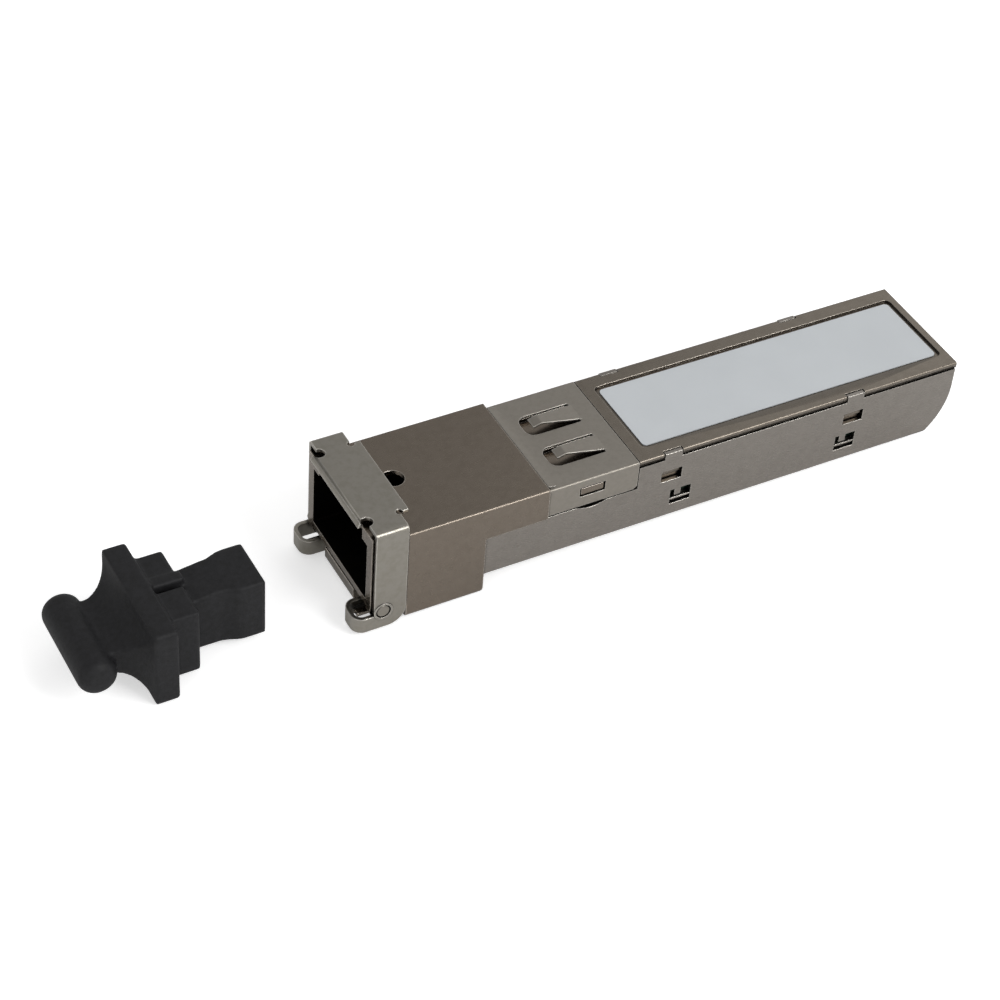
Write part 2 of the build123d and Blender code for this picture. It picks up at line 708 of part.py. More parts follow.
# Circuit board, narrower where it enters the host connector
with BuildPart() as circuit_board:
    with BuildSketch(Plane.XY.offset(board_low)) as board_outline:
        with Locations(((board_neck_front - board_front) / 2, 0)):
            Rectangle(board_neck_front + board_front, board_width)
        fillet(board_outline.vertices(), radius=board_corner_radius)
        with Locations(((board_neck_front + board_rear) / 2 - board_corner_radius, 0)):
            Rectangle(board_rear - board_neck_front + 2 * board_corner_radius, board_neck_width)
    extrude(amount=board_thickness)
    chamfer([e for e in circuit_board.edges().filter_by(Axis.Y) if abs(e.center().X - board_rear) < 0.01],
            length=board_edge_bevel)
finish(circuit_board.part, "circuit_board")

# Gold contacts along the card edge, above and below
pad_centre = board_rear - pad_setback - pad_length / 2
pad_places = [(pad_centre, (index - (pad_count - 1) / 2) * pad_pitch) for index in range(pad_count)]
for level, direction, name in ((board_top, 1, "edge_contacts_top"),
                               (board_low, -1, "edge_contacts_bottom")):
    with BuildPart() as edge_contacts:
        with BuildSketch(Plane.XY.offset(level)):
            with Locations(pad_places):
                Rectangle(pad_length, pad_width)
        extrude(amount=direction * pad_thickness)
    finish(edge_contacts.part, name)


# Parts on the board
def board_part(size, name):
    front, side, length, width, height = size
    with BuildPart() as component:
        with BuildSketch(Plane.XY.offset(board_top)):
            with Locations((front + length / 2, side)):
                Rectangle(length, width)
        extrude(amount=height)
        chamfer(component.edges().group_by(Axis.Z)[-1], length=package_bevel)
    finish(component.part, name)


board_part(transformer_size, "transformer_module")
board_part(network_chip_size, "network_chip")
board_part(memory_size, "memory_chip")
board_part(regulator_size, "voltage_regulator")
board_part(inductor_size, "power_inductor")
board_part(crystal_size, "clock_crystal")

with BuildPart() as thermal_pad:
    chip_front, chip_side, chip_length, chip_width, chip_height = network_chip_size
    with BuildSketch(Plane.XY.offset(board_top + chip_height)):
        with Locations((chip_front + chip_length / 2, chip_side)):
            Rectangle(chip_length - 4 * pad_margin, chip_width - 4 * pad_margin)
    extrude(amount=recess_under - board_top - chip_height)
finish(thermal_pad.part, "thermal_pad")

with BuildPart() as line_chokes:
    with BuildSketch(Plane.XY.offset(board_top)):
        with Locations([(choke_front + choke_length / 2, (index - (choke_count - 1) / 2) * choke_pitch)
                        for index in range(choke_count)]):
            Rectangle(choke_length, choke_width)
    extrude(amount=choke_height)
finish(line_chokes.part, "line_chokes")

capacitor_length, capacitor_width, capacitor_height = capacitor_size
with BuildPart() as capacitors:
    with BuildSketch(Plane.XY.offset(board_top)):
        with Locations([(front + capacitor_length / 2, side) for front, side in capacitor_places]):
            Rectangle(capacitor_length, capacitor_width)
    extrude(amount=capacitor_height)
finish(capacitors.part, "capacitors")

resistor_length, resistor_width, resistor_height = resistor_size
with BuildPart() as resistors:
    with BuildSketch(Plane.XY.offset(board_top)):
        with Locations([(resistor_front, (index - (resistor_count - 1) / 2) * resistor_pitch)
                        for index in range(resistor_count)]):
            Rectangle(resistor_length, resistor_width)
    extrude(amount=resistor_height)
finish(resistors.part, "resistors")

# Dust plug: grip bar, neck flared on all four sides, plate, slotted shoulder and nose
with BuildPart() as dust_plug:
    plug_plate_back = plug_plate_front + plug_plate_thickness
    plug_neck_end = plug_plate_back + plug_flare_length
    # the flare is the part common to its side view and its top view
    with BuildSketch(Plane.XZ.offset(-(plug_side + plug_plate_width / 2))):
        with BuildLine():
            tall = plug_plate_height / 2
            thin = plug_neck_height / 2
            Line((-plug_plate_back, plug_middle - tall), (-plug_plate_back, plug_middle + tall))
            RadiusArc((-plug_plate_back, plug_middle + tall), (-plug_neck_end, plug_middle + thin),
                      plug_flare_radius)
            Polyline((-plug_neck_end, plug_middle + thin), (-plug_bar_forward, plug_middle + thin),
                     (-plug_bar_forward, plug_middle - thin), (-plug_neck_end, plug_middle - thin))
            RadiusArc((-plug_neck_end, plug_middle - thin), (-plug_plate_back, plug_middle - tall),
                      plug_flare_radius)
        make_face()
    extrude(amount=plug_plate_width)
    with BuildSketch(Plane.XY.offset(plug_middle - plug_plate_height / 2)):
        with BuildLine():
            wide = plug_plate_width / 2
            slim = plug_neck_width / 2
            Line((-plug_plate_back, plug_side - wide), (-plug_plate_back, plug_side + wide))
            RadiusArc((-plug_plate_back, plug_side + wide), (-plug_neck_end, plug_side + slim),
                      plug_flare_radius)
            Polyline((-plug_neck_end, plug_side + slim), (-plug_bar_forward, plug_side + slim),
                     (-plug_bar_forward, plug_side - slim), (-plug_neck_end, plug_side - slim))
            RadiusArc((-plug_neck_end, plug_side - slim), (-plug_plate_back, plug_side - wide),
                      plug_flare_radius)
        make_face()
    extrude(amount=plug_plate_height, mode=Mode.INTERSECT)
    with BuildSketch(Plane.YZ.offset(-plug_plate_back)):
        with Locations((plug_side, plug_middle)):
            RectangleRounded(plug_plate_width, plug_plate_height, plug_plate_radius)
    extrude(amount=plug_plate_thickness)
    with BuildSketch(Plane.YZ.offset(-plug_plate_front)):
        with Locations((plug_side, plug_middle)):
            RectangleRounded(plug_shoulder_width, plug_shoulder_height, plug_shoulder_radius)
        with Locations((plug_side, plug_middle + plug_shoulder_height / 2 - plug_slot_depth / 2)):
            Rectangle(plug_slot_width, plug_slot_depth, mode=Mode.SUBTRACT)
    extrude(amount=plug_shoulder_length)
    # the nose widens towards its tip
    nose_root = -plug_plate_front + plug_shoulder_length
    nose_tip = nose_root + plug_nose_length
    nose_bottom = plug_middle - plug_shoulder_height / 2
    with BuildSketch(Plane.XY.offset(nose_bottom)):
        with BuildLine():
            root_half = plug_nose_root_width / 2
            tip_half = plug_nose_tip_width / 2
            swell_start = nose_root + plug_swell_start
            swell_end = nose_root + plug_swell_end
            upper = [(nose_root, plug_side + root_half), (swell_start, plug_side + root_half),
                     (swell_end, plug_side + tip_half), (nose_tip, plug_side + tip_half)]
            lower = [(nose_tip, plug_side - tip_half), (swell_end, plug_side - tip_half),
                     (swell_start, plug_side - root_half), (nose_root, plug_side - root_half)]
            Line(upper[0], upper[1])
            Spline(upper[1], upper[2], tangents=((1, 0), (1, 0)))
            Polyline(upper[2], upper[3], lower[0], lower[1])
            Spline(lower[1], lower[2], tangents=((-1, 0), (-1, 0)))
            Polyline(lower[2], lower[3], upper[0])
        make_face()
    extrude(amount=plug_nose_height)
    with BuildSketch(Plane.XZ.offset(-(plug_side + plug_bar_length / 2))):
        with Locations((-plug_bar_forward, plug_middle)):
            Circle(plug_bar_radius)
    extrude(amount=plug_bar_length)
    bar_ends = [e for e in dust_plug.edges().filter_by(GeomType.CIRCLE)
                if abs(abs(e.center().Y - plug_side) - plug_bar_length / 2) < 0.01]
    fillet(bar_ends, radius=plug_bar_round)
    nose_edges = [e for e in dust_plug.edges().filter_by(Axis.X) if e.center().X > nose_root]
    fillet(nose_edges, radius=plug_nose_radius)
finish(dust_plug.part, "dust_plug")
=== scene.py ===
import json
import math

import bmesh
import bpy
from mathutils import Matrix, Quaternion, Vector


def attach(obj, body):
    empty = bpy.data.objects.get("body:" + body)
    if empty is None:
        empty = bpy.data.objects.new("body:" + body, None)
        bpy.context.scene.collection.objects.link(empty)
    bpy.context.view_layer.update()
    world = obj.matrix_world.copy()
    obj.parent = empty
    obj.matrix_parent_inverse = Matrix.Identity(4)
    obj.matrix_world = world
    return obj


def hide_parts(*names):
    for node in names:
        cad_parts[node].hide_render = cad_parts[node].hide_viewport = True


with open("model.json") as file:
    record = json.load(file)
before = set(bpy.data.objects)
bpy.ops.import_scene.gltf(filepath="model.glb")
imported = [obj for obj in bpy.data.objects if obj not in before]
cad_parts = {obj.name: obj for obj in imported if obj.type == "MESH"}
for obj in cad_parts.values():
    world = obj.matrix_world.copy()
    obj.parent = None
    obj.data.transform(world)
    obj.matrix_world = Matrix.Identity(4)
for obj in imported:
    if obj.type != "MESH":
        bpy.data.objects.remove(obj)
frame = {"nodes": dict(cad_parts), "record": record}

mm = 0.001
nodes = frame["nodes"]
bodyOf = {node: body for body, members in frame["record"]["behaviour"]["bodies"].items()
          for node in members}
slotOf = {part["node"]: part["material_slot"] for part in frame["record"]["subparts"]}
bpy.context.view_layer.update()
print("frame loaded:", len(nodes), "nodes")


def linearColour(hexCode):
    # an sRGB hex code as linear light, opaque
    channels = [int(hexCode[i:i + 2], 16) / 255 for i in (1, 3, 5)]
    linear = [c / 12.92 if c <= 0.04045 else ((c + 0.055) / 1.055) ** 2.4 for c in channels]
    return (*linear, 1.0)


def addNode(tree, kind, inputs=None, **settings):
    # an input is another node's output, a hex colour or a plain value
    node = tree.nodes.new(kind)
    for name, value in settings.items():
        setattr(node, name, value)
    for key, value in (inputs or {}).items():
        if isinstance(value, bpy.types.NodeSocket):
            tree.links.new(value, node.inputs[key])
        else:
            node.inputs[key].default_value = linearColour(value) if isinstance(value, str) else value
    return node


def newMaterial(name):
    material = bpy.data.materials.new(name)
    material.use_nodes = True
    return material, material.node_tree, material.node_tree.nodes["Principled BSDF"]


def patches(tree, place, size, limits):
    # soft mask from 0 to 1, with patches of about this size in millimetres
    noise = addNode(tree, "ShaderNodeTexNoise",
                    {"Vector": place, "Scale": 1 / (size * mm), "Detail": 3.0})
    mask = addNode(tree, "ShaderNodeMapRange", {"Value": noise.outputs["Fac"],
                                                "From Min": limits[0], "From Max": limits[1]})
    return mask.outputs["Result"]


# where each mask begins and is full: the noise for stain, drift and grain, how far the rounded normal agrees
# with the face's own for the painted edge highlight, and how open a spot is for the painted shade in gaps
# and corners
maskLimits = {"stain": (0.42, 0.68), "drift": (0.35, 0.7), "grain": (0.3, 0.7), "paintedEdgeHighlight": (0.995, 0.8),
              "paintedCreviceShade": (0.55, 0.96), "samples": 6}


def platedMetal(values):
    # metal sheet or casting: faint stains, drawn grain, softened edges with a painted highlight, and painted
    # shade in gaps and inner corners
    material, tree, shader = newMaterial(values["name"])
    place = addNode(tree, "ShaderNodeTexCoord").outputs["Object"]
    stain = patches(tree, place, values["stainSize"], maskLimits["stain"])
    # a colour mix has its factor in input 0, its colours in 6 and 7 and its result in output 2
    stained = addNode(tree, "ShaderNodeMix", {0: stain, 6: values["plating"], 7: values["stain"]},
                      data_type="RGBA")
    length, width = values["grainLength"] * mm, values["grainWidth"] * mm
    drawn = addNode(tree, "ShaderNodeMapping",
                    {"Vector": place, "Scale": (1 / length, 1 / width, 1 / width)})
    grain = addNode(tree, "ShaderNodeTexNoise",
                    {"Vector": drawn.outputs["Vector"], "Scale": 1.0, "Detail": 2.0})
    # the rounded edge shows where the bevelled normal leaves the face's own
    rounded = addNode(tree, "ShaderNodeBevel", {"Radius": values["edgeRadius"] * mm},
                      samples=maskLimits["samples"]).outputs["Normal"]
    flat = addNode(tree, "ShaderNodeNewGeometry").outputs["Normal"]
    turn = addNode(tree, "ShaderNodeVectorMath", {0: rounded, 1: flat}, operation="DOT_PRODUCT")
    # painted highlight: where the bevelled normal turns away from the face's own, the colour is mixed
    # towards a bright edge colour
    paintedEdgeHighlight = addNode(tree, "ShaderNodeMapRange",
                     {"Value": turn.outputs["Value"], "From Min": maskLimits["paintedEdgeHighlight"][0],
                      "From Max": maskLimits["paintedEdgeHighlight"][1], "To Max": values["paintedEdgeHighlightShare"]})
    edgeHighlighted = addNode(tree, "ShaderNodeMix",
                   {0: paintedEdgeHighlight.outputs["Result"], 6: stained.outputs[2], 7: values["paintedEdgeHighlight"]},
                   data_type="RGBA")
    # painted shade: narrow gaps and inner corners are darkened towards a dark colour by ambient occlusion
    paintedCreviceShade = addNode(tree, "ShaderNodeAmbientOcclusion", {"Distance": values["paintedCreviceShadeReach"] * mm},
                   samples=maskLimits["samples"])
    paintedShadeMask = addNode(tree, "ShaderNodeMapRange",
                    {"Value": paintedCreviceShade.outputs["AO"], "From Min": maskLimits["paintedCreviceShade"][0],
                     "From Max": maskLimits["paintedCreviceShade"][1]})
    colour = addNode(tree, "ShaderNodeMix",
                     {0: paintedShadeMask.outputs["Result"], 6: values["paintedCreviceShade"], 7: edgeHighlighted.outputs[2]}, data_type="RGBA")
    tree.links.new(colour.outputs[2], shader.inputs["Base Color"])
    rough = addNode(tree, "ShaderNodeMapRange",
                    {"Value": grain.outputs["Fac"], "From Min": maskLimits["grain"][0],
                     "From Max": maskLimits["grain"][1], "To Min": values["roughLow"],
                     "To Max": values["roughHigh"]})
    tree.links.new(rough.outputs["Result"], shader.inputs["Roughness"])
    bump = addNode(tree, "ShaderNodeBump", {"Height": grain.outputs["Fac"],
                                            "Distance": values["relief"] * mm,
                                            "Strength": 1.0, "Normal": rounded})
    tree.links.new(bump.outputs["Normal"], shader.inputs["Normal"])
    shader.inputs["Metallic"].default_value = 1.0
    return material


def mouldedPlastic(values):
    # polymer: fine spark grain and slight colour drift
    material, tree, shader = newMaterial(values["name"])
    place = addNode(tree, "ShaderNodeTexCoord").outputs["Object"]
    drift = patches(tree, place, values["driftSize"], maskLimits["drift"])
    colour = addNode(tree, "ShaderNodeMix", {0: drift, 6: values["base"], 7: values["drift"]},
                     data_type="RGBA")
    tree.links.new(colour.outputs[2], shader.inputs["Base Color"])
    grain = addNode(tree, "ShaderNodeTexNoise",
                    {"Vector": place, "Scale": 1 / (values["grainSize"] * mm), "Detail": 2.0})
    rough = addNode(tree, "ShaderNodeMapRange",
                    {"Value": grain.outputs["Fac"], "To Min": values["roughLow"],
                     "To Max": values["roughHigh"]})
    tree.links.new(rough.outputs["Result"], shader.inputs["Roughness"])
    bump = addNode(tree, "ShaderNodeBump", {"Height": grain.outputs["Fac"],
                                            "Distance": values["relief"] * mm, "Strength": 1.0})
    tree.links.new(bump.outputs["Normal"], shader.inputs["Normal"])
    shader.inputs["IOR"].default_value = values["ior"]
    shader.inputs["Specular IOR Level"].default_value = values["gloss"]
    return material


# sizes are millimetres; the real rolling, blasting and spark marks are a few hundredths of a millimetre, too
# fine for the picture, so their grain is drawn several times coarser

# every metal below has a painted highlight colour for its edges and a painted shade colour for its gaps and
# inner corners
# nickel plated zinc die casting: dark warm satin, faint brown stains, a bright painted highlight along the
# edges
nickelCasting = {
    "name": "nickelPlatedZincCasting", "plating": "#786F65", "stain": "#746B61", "stainSize": 0.9,
    "grainLength": 0.5, "grainWidth": 0.2, "roughLow": 0.23, "roughHigh": 0.28, "relief": 0.0004,
    "edgeRadius": 0.18, "paintedEdgeHighlight": "#D2CAC0", "paintedEdgeHighlightShare": 0.9, "paintedCreviceShade": "#1C1815", "paintedCreviceShadeReach": 0.45}
# inside of the jack: the same casting painted near black, as painted shade where light hardly reaches
jackPaintedShade = dict(nickelCasting, name="jackShadeCasting", plating="#14120F", stain="#100F0D",
                 paintedEdgeHighlight="#1E1B18", roughLow=0.5, roughHigh=0.65)
# nickel plated copper alloy sheet, rolled and folded: greyer and lighter, grain along the fold
nickelShell = {
    "name": "nickelPlatedRolledSheet", "plating": "#85807A", "stain": "#817C76", "stainSize": 0.8,
    "grainLength": 1.2, "grainWidth": 0.12, "roughLow": 0.25, "roughHigh": 0.32, "relief": 0.001,
    "edgeRadius": 0.12, "paintedEdgeHighlight": "#CFCBC3", "paintedEdgeHighlightShare": 0.8, "paintedCreviceShade": "#1C1815", "paintedCreviceShadeReach": 0.4}
# the same sheet, pressed for the cover: darker warm plating
nickelCover = {
    "name": "nickelPlatedPressedCover", "plating": "#756E65", "stain": "#716A61", "stainSize": 0.8,
    "grainLength": 0.8, "grainWidth": 0.15, "roughLow": 0.25, "roughHigh": 0.32, "relief": 0.0008,
    "edgeRadius": 0.12, "paintedEdgeHighlight": "#C9C1B6", "paintedEdgeHighlightShare": 0.8, "paintedCreviceShade": "#1C1815", "paintedCreviceShadeReach": 0.35}
# stainless spring sheet, blasted satin: lighter neutral grey, soft gloss
springCollar = {
    "name": "blastedSpringSteelSheet", "plating": "#8D8880", "stain": "#89847C", "stainSize": 0.6,
    "grainLength": 0.25, "grainWidth": 0.15, "roughLow": 0.4, "roughHigh": 0.5, "relief": 0.003,
    "edgeRadius": 0.12, "paintedEdgeHighlight": "#DAD6CE", "paintedEdgeHighlightShare": 0.9, "paintedCreviceShade": "#1C1916", "paintedCreviceShadeReach": 0.4}
# stainless strip for the bail: satin, tumbled edges with a bright painted highlight
bailStrip = {
    "name": "tumbledStainlessStrip", "plating": "#918D85", "stain": "#8B877E", "stainSize": 0.6,
    "grainLength": 0.4, "grainWidth": 0.15, "roughLow": 0.3, "roughHigh": 0.4, "relief": 0.003,
    "edgeRadius": 0.18, "paintedEdgeHighlight": "#DAD6CE", "paintedEdgeHighlightShare": 0.9, "paintedCreviceShade": "#1C1916", "paintedCreviceShadeReach": 0.5}
# turned stainless pin
pinSteel = dict(bailStrip, name="turnedStainlessPin", plating="#8A857D", edgeRadius=0.05)
# die cast slide, plated as the housing is
slideMetal = dict(nickelCasting, name="nickelPlatedCastSlide", plating="#7B756C")
# gold over nickel on sprung copper wire and on the board's pads: warm yellow, hardly rounded
contactGold = dict(nickelShell, name="hardGoldPlating", plating="#C9A25C", stain="#BD964F",
                   paintedEdgeHighlight="#D8B878", edgeRadius=0.03, stainSize=1.0)
# crystal's can, seam welded sheet: pale bright grey
crystalCan = dict(nickelShell, name="seamWeldedCan", plating="#B4B2AC", stain="#A9A7A0", stainSize=1.0)

# matt silver film label: flat cool grey with the softest mottling
labelFilm = {
    "name": "mattSilverPolyesterFilm", "base": "#BFC3C6", "drift": "#BCC0C3", "driftSize": 5.0,
    "grainSize": 0.1, "roughLow": 0.5, "roughHigh": 0.6, "relief": 0.001, "ior": 1.55, "gloss": 0.5}
# black thermoplastic elastomer, moulded: matt with fine spark grain
plugElastomer = {
    "name": "mouldedBlackElastomer", "base": "#1D1D1F", "drift": "#151516", "driftSize": 0.5,
    "grainSize": 0.14, "roughLow": 0.5, "roughHigh": 0.7, "relief": 0.012, "ior": 1.5, "gloss": 0.25}
# glass filled nylon of the jack's insert: black, slightly uneven gloss
jackPlastic = {
    "name": "glassFilledBlackNylon", "base": "#101010", "drift": "#0C0C0C", "driftSize": 2.0,
    "grainSize": 0.08, "roughLow": 0.45, "roughHigh": 0.6, "relief": 0.002, "ior": 1.53, "gloss": 0.35}
# epoxy of the chip packages: a shade lighter than the nylon
chipPlastic = dict(jackPlastic, name="epoxyMouldingCompound", base="#1C1C1E", drift="#18181A")
# solder mask over glass epoxy: dark green with a low gloss
boardMask = {
    "name": "solderMaskOnGlassEpoxy", "base": "#0C2318", "drift": "#0B1F15", "driftSize": 1.5,
    "grainSize": 0.15, "roughLow": 0.3, "roughHigh": 0.45, "relief": 0.003, "ior": 1.55, "gloss": 0.5}
# fired ceramic: tan and matt
capacitorCeramic = dict(jackPlastic, name="tanCeramic", base="#8C7350", drift="#806848", driftSize=0.6)
# silicone pad between chip and cover: soft blue grey
thermalPad = dict(jackPlastic, name="siliconeGapPad", base="#8A9098", drift="#7F858C", driftSize=1.0)

finishes = {
    "cast_housing": platedMetal(nickelCasting), "shell_steel": platedMetal(nickelShell),
    "cover_steel": platedMetal(nickelCover), "collar_steel": platedMetal(springCollar),
    "bail_steel": platedMetal(bailStrip), "pin_steel": platedMetal(pinSteel),
    "slide_metal": platedMetal(slideMetal), "gold_contact": platedMetal(contactGold),
    "can_metal": platedMetal(crystalCan), "label_film": mouldedPlastic(labelFilm),
    "plug_rubber": mouldedPlastic(plugElastomer), "jack_plastic": mouldedPlastic(jackPlastic),
    "chip_plastic": mouldedPlastic(chipPlastic), "board_laminate": mouldedPlastic(boardMask),
    "capacitor_ceramic": mouldedPlastic(capacitorCeramic), "thermal_putty": mouldedPlastic(thermalPad),
}
for name, piece in nodes.items():
    if not piece.data.materials:
        piece.data.materials.append(None)
    for materialSlot in piece.material_slots:
        materialSlot.material = finishes[slotOf[name]]
print("finishes:", len(finishes))

joining = {"distance": 0.0005, "flatAngle": 0.3}  # millimetres and degrees


def mergedCopy(node, pieceName):
    # the solid's own mesh with its loose triangles joined, ready to be finished
    mesh = nodes[node].data.copy()
    mesh.name = pieceName
    work = bmesh.new()
    work.from_mesh(mesh)
    bmesh.ops.remove_doubles(work, verts=work.verts, dist=joining["distance"] * mm)
    bmesh.ops.dissolve_limit(work, angle_limit=math.radians(joining["flatAngle"]), verts=work.verts,
                             edges=work.edges)
    work.to_mesh(mesh)
    work.free()
    piece = bpy.data.objects.new(pieceName, mesh)
    bpy.context.scene.collection.objects.link(piece)
    return piece


def standFor(piece, node):
    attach(piece, bodyOf[node])
    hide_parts(node)


def smoothSkin(node, angle):
    # same shape, with its curved faces shaded round and its flats kept flat
    piece = mergedCopy(node, node + "_skin")
    piece.data.shade_smooth()
    piece.data.set_sharp_from_angle(angle=math.radians(angle))
    weigh = piece.modifiers.new("flatFaces", "WEIGHTED_NORMAL")
    weigh.keep_sharp = True
    standFor(piece, node)
    return piece


def bakeModifiers(piece):
    # the evaluated mesh takes the place of the piece's own, with no modifier left
    view = bpy.context.evaluated_depsgraph_get()
    solid = bpy.data.meshes.new_from_object(piece.evaluated_get(view))
    piece.modifiers.clear()
    piece.data = solid


smoothedMetal = {"angle": 32, "pieces": ("front_housing", "lower_shell", "top_cover", "emi_collar", "bail",
                                         "pivot_pin_near", "pivot_pin_far", "latch_slide",
                                         "jack_contacts")}
skins = {node: smoothSkin(node, smoothedMetal["angle"]) for node in smoothedMetal["pieces"]}
print("metal skins:", len(skins))

# each seam is eased by less than a tenth of a millimetre, so that it holds its line of shade: the corners
# between "low" and "high" keep "share" of their distance from the middle of that box and then move
seamEasing = (
    # lower and front edges of the collar
    {"piece": "emi_collar", "low": (-1, -8, 5.1), "high": (11, 8, 5.17), "move": (0, 0, 0.08)},
    {"piece": "emi_collar", "low": (0, -8, 4), "high": (0.08, 8, 10), "move": (0.07, 0, 0)},
    # ledges of the casting beside the neck
    {"piece": "front_housing", "low": (-6.6, -8, 5.0), "high": (0, -6.72, 5.1), "move": (0, 0, 0.08)},
    {"piece": "front_housing", "low": (-6.6, 6.72, 5.0), "high": (0, 8, 5.1), "move": (0, 0, 0.08)},
    # catches in the collar's windows
    {"piece": "front_housing", "low": (3.55, -7, 6.5), "high": (6.25, -6.5, 7.55),
     "share": (0.94, 1, 0.85), "move": (0, 0.05, 0)},
    {"piece": "front_housing", "low": (3.55, 6.5, 6.5), "high": (6.25, 7, 7.55),
     "share": (0.94, 1, 0.85), "move": (0, -0.05, 0)},
    # front edge of the tray
    {"piece": "lower_shell", "low": (-6.6, -8, -1), "high": (-6.55, 8, 6), "move": (0.06, 0, 0)},
)
for seam in seamEasing:
    middle = [(low + high) / 2 for low, high in zip(seam["low"], seam["high"])]
    shares = seam.get("share", (1, 1, 1))
    eased = 0
    for corner in skins[seam["piece"]].data.vertices:
        spot = [part / mm for part in corner.co]
        if all(low <= part <= high for low, part, high in zip(seam["low"], spot, seam["high"])):
            corner.co = Vector([centre + (part - centre) * share + move for centre, part, share, move
                                in zip(middle, spot, shares, seam["move"])]) * mm
            eased += 1
    print("eased seam of", seam["piece"] + ":", eased, "corners")

# painted shade: the casting's faces inside the jack take the near-black material, and in front it goes up
# into the latch's slot
jackInside = {"front": -18.7, "rear": -1.9, "half": 5.85, "low": 1.1, "roof": 8.5, "latchRoof": 9.2,
              "latchFront": -14.95}
housing = skins["front_housing"]
housing.data.materials.append(platedMetal(jackPaintedShade))
for face in housing.data.polygons:
    x, y, z = (part / mm for part in face.center)
    high = jackInside["latchRoof"] if x < jackInside["latchFront"] else jackInside["roof"]
    within = jackInside["front"] < x < jackInside["rear"] and abs(y) < jackInside["half"]
    if within and jackInside["low"] < z < high:
        face.material_index = 1
print("black faces in the jack:", sum(face.material_index for face in housing.data.polygons))

# the dust plug is one moulding: its shoulder stands a little over the nose, with a rounded rib beside the
# slot, and all its edges are rounded by a fine remesh and a few smoothing passes
plugRounding = {"voxel": 0.16, "passes": 14, "strength": 0.5, "tip": 0.8, "tipSteps": 5}
plugShoulder = {"front": -38.2, "rear": -35.1, "low": -2.3, "top": 5.2, "outer": 4.55, "slot": 0.58,
                "side": -0.36}
plugRib = {"front": -38.2, "rear": -34.7, "near": -0.31, "far": 0.95, "low": 3.9, "top": 5.4}
plugNose = {"root": -35.0, "tip": -27.8, "tipDepth": 0.05, "tall": 4.0, "above": 3.9, "lift": 0.4}


def addBlock(work, low, high):
    # a plain block from its two far corners, in millimetres
    middle = [(a + b) / 2 * mm for a, b in zip(low, high)]
    size = [(b - a) * mm for a, b in zip(low, high)]
    made = bmesh.ops.create_cube(work, size=1.0)["verts"]
    for corner in made:
        corner.co = Vector([centre + part * span for centre, part, span in zip(middle, corner.co, size)])


plug = mergedCopy("dust_plug", "dust_plug_moulding")
work = bmesh.new()
work.from_mesh(plug.data)
tipEdges = [edge for edge in work.edges
            if all(corner.co.x > (plugNose["tip"] - plugNose["tipDepth"]) * mm for corner in edge.verts)
            and abs(edge.verts[0].co.z - edge.verts[1].co.z) > plugNose["tall"] * mm]
bmesh.ops.bevel(work, geom=tipEdges, offset=plugRounding["tip"] * mm, segments=plugRounding["tipSteps"],
                affect="EDGES", profile=0.5)
for corner in work.verts:
    if corner.co.x > plugNose["root"] * mm and corner.co.z > plugNose["above"] * mm:
        corner.co.z += plugNose["lift"] * mm
side, slot, outer = plugShoulder["side"], plugShoulder["slot"], plugShoulder["outer"]
for nearY, farY in ((side - outer, side - slot), (side + slot, side + outer)):
    addBlock(work, (plugShoulder["front"], nearY, plugShoulder["low"]),
             (plugShoulder["rear"], farY, plugShoulder["top"]))
addBlock(work, (plugRib["front"], plugRib["near"], plugRib["low"]),
         (plugRib["rear"], plugRib["far"], plugRib["top"]))
work.to_mesh(plug.data)
work.free()
remesh = plug.modifiers.new("voxels", "REMESH")
remesh.mode = "VOXEL"
remesh.voxel_size = plugRounding["voxel"] * mm
soften = plug.modifiers.new("soften", "SMOOTH")
soften.factor = plugRounding["strength"]
soften.iterations = plugRounding["passes"]
bakeModifiers(plug)
plug.data.materials.clear()
plug.data.materials.append(finishes["plug_rubber"])
plug.data.shade_smooth()
standFor(plug, "dust_plug")
print("dust plug:", len(plug.data.polygons), "faces")

# pale table top: it leans a little, because the module rests on its snout and its rear end
floorPlan = {"half": 900.0, "frontX": -6.67, "frontZ": -1.94, "rise": 1.94 / 50.7, "paint": "#F4F4F4",
             "rough": 0.9, "gloss": 0.0, "glow": 0.5, "mirroredShare": 0.2}
floorMesh = bpy.data.meshes.new("floor")
corners = []
for x, y in ((-1, -1), (1, -1), (1, 1), (-1, 1)):
    level = floorPlan["frontZ"] + (x * floorPlan["half"] - floorPlan["frontX"]) * floorPlan["rise"]
    corners.append(Vector((x * floorPlan["half"], y * floorPlan["half"], level)) * mm)
floorMesh.from_pydata(corners, [], [(0, 1, 2, 3)])
floor = bpy.data.objects.new("floor", floorMesh)
bpy.context.scene.collection.objects.link(floor)
floorMaterial, floorTree, floorShader = newMaterial("paleTableTop")
floorShader.inputs["Base Color"].default_value = linearColour(floorPlan["paint"])
floorShader.inputs["Roughness"].default_value = floorPlan["rough"]
floorShader.inputs["Specular IOR Level"].default_value = floorPlan["gloss"]
# the table is white to the camera and a little less bright where metal mirrors it
rays = addNode(floorTree, "ShaderNodeLightPath")
mirrored = addNode(floorTree, "ShaderNodeMath",
                   {0: rays.outputs["Is Glossy Ray"], 1: floorPlan["mirroredShare"]}, operation="MULTIPLY")
direct = addNode(floorTree, "ShaderNodeMath",
                 {0: rays.outputs["Is Camera Ray"], 1: rays.outputs["Is Transmission Ray"]},
                 operation="MAXIMUM")
seen = addNode(floorTree, "ShaderNodeMath", {0: direct.outputs["Value"], 1: mirrored.outputs["Value"]},
               operation="MAXIMUM")
glow = addNode(floorTree, "ShaderNodeMath", {0: seen.outputs["Value"], 1: floorPlan["glow"]},
               operation="MULTIPLY")
floorShader.inputs["Emission Color"].default_value = (1, 1, 1, 1)
floorTree.links.new(glow.outputs["Value"], floorShader.inputs["Emission Strength"])
floorMesh.materials.append(floorMaterial)

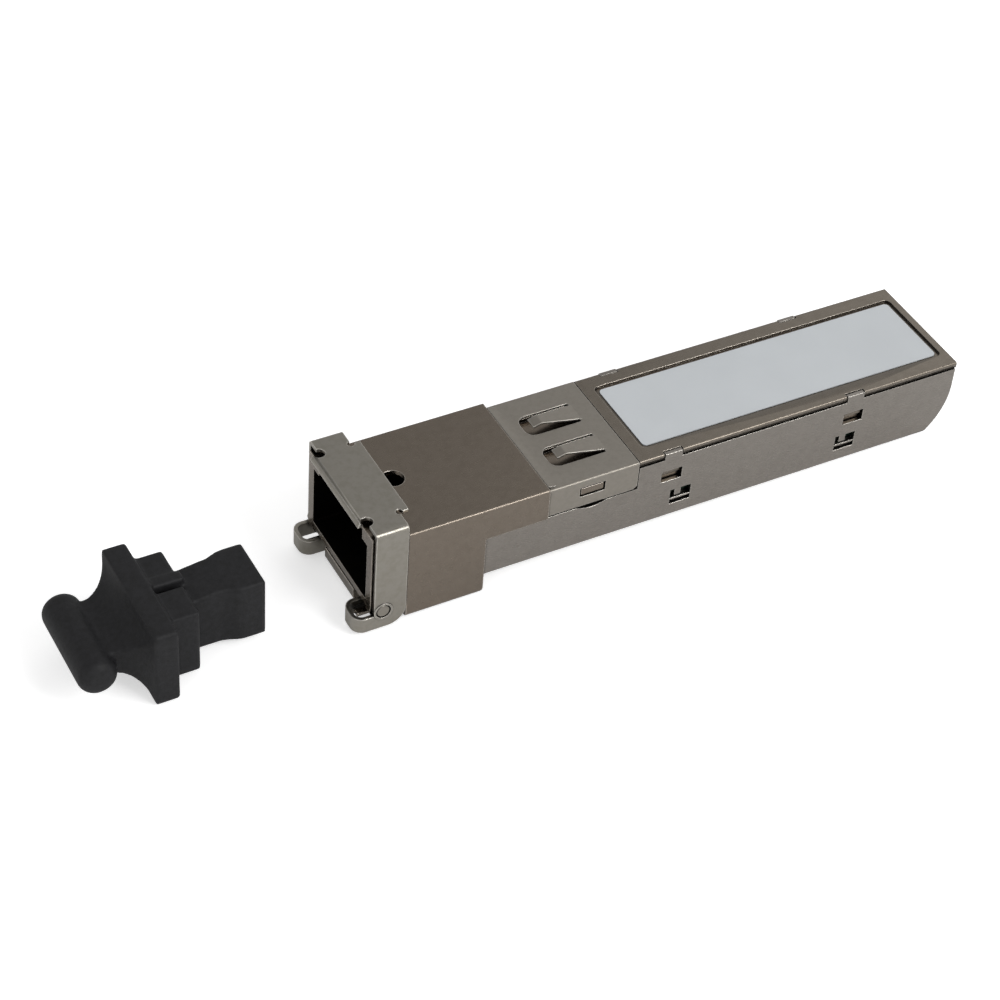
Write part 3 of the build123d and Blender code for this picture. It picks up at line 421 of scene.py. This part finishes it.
# studio: a dim ceiling over a bright horizon for reflections and fill light, white where it is looked at
studio = {"horizon": 0.72, "ceiling": 0.48, "ceilingFrom": 0.85, "lookedAt": 1.0}
world = bpy.data.worlds.new("studio")
bpy.context.scene.world = world
world.use_nodes = True
sky = world.node_tree
background = sky.nodes["Background"]
upward = addNode(sky, "ShaderNodeSeparateXYZ", {0: addNode(sky, "ShaderNodeTexCoord").outputs["Generated"]})
dome = addNode(sky, "ShaderNodeMapRange",
               {"Value": upward.outputs["Z"], "From Min": 0.0, "From Max": studio["ceilingFrom"],
                "To Min": studio["horizon"], "To Max": studio["ceiling"]})
skyRays = addNode(sky, "ShaderNodeLightPath")
skyDirect = addNode(sky, "ShaderNodeMath",
                    {0: skyRays.outputs["Is Camera Ray"], 1: skyRays.outputs["Is Transmission Ray"]},
                    operation="MAXIMUM")
strength = addNode(sky, "ShaderNodeMix",
                   {0: skyDirect.outputs["Value"], 2: dome.outputs["Result"], 3: studio["lookedAt"]},
                   data_type="FLOAT")
background.inputs["Color"].default_value = (1, 1, 1, 1)
sky.links.new(strength.outputs[0], background.inputs["Strength"])

# soft square lamps that face the part: the way each one stands, its distance and width, and its watts
lamps = {
    "keyLamp": {"towards": (0.38, -0.68, 0.63), "distance": 500, "size": 230, "power": 1.4},  # near bends
    "topLamp": {"towards": (0.62, 0.35, 0.75), "distance": 600, "size": 350, "power": 0.25},  # blasted tops
    "leftLamp": {"towards": (-0.9, -0.4, 0.45), "distance": 550, "size": 260, "power": 0.25},  # jack's face
}
for name, values in lamps.items():
    light = bpy.data.lights.new(name, "AREA")
    light.size = values["size"] * mm
    light.energy = values["power"]
    lamp = bpy.data.objects.new(name, light)
    aim = Vector(values["towards"]).normalized()
    lamp.location = aim * values["distance"] * mm
    lamp.rotation_mode = "QUATERNION"
    lamp.rotation_quaternion = (-aim).to_track_quat("-Z", "Y")
    bpy.context.scene.collection.objects.link(lamp)

# camera at the photograph's own view: place and lens in millimetres, clipping in metres
cameraPlan = {"place": (-99.7456, -163.2798, 176.9923), "turn": (0.891168, 0.383258, -0.123720, -0.208867),
              "sensor": 36.0, "lens": 95.0216, "clipNear": 0.001, "clipFar": 20.0}
cameraData = bpy.data.cameras.new("photoCamera")
cameraData.sensor_width = cameraPlan["sensor"]
cameraData.lens = cameraPlan["lens"]
cameraData.clip_start = cameraPlan["clipNear"]
cameraData.clip_end = cameraPlan["clipFar"]
camera = bpy.data.objects.new("photoCamera", cameraData)
camera.location = Vector(cameraPlan["place"]) * mm
camera.rotation_mode = "QUATERNION"
camera.rotation_quaternion = Quaternion(cameraPlan["turn"])
bpy.context.scene.collection.objects.link(camera)
bpy.context.scene.camera = camera
bpy.context.scene.view_settings.view_transform = "Standard"
print("studio and camera ready")
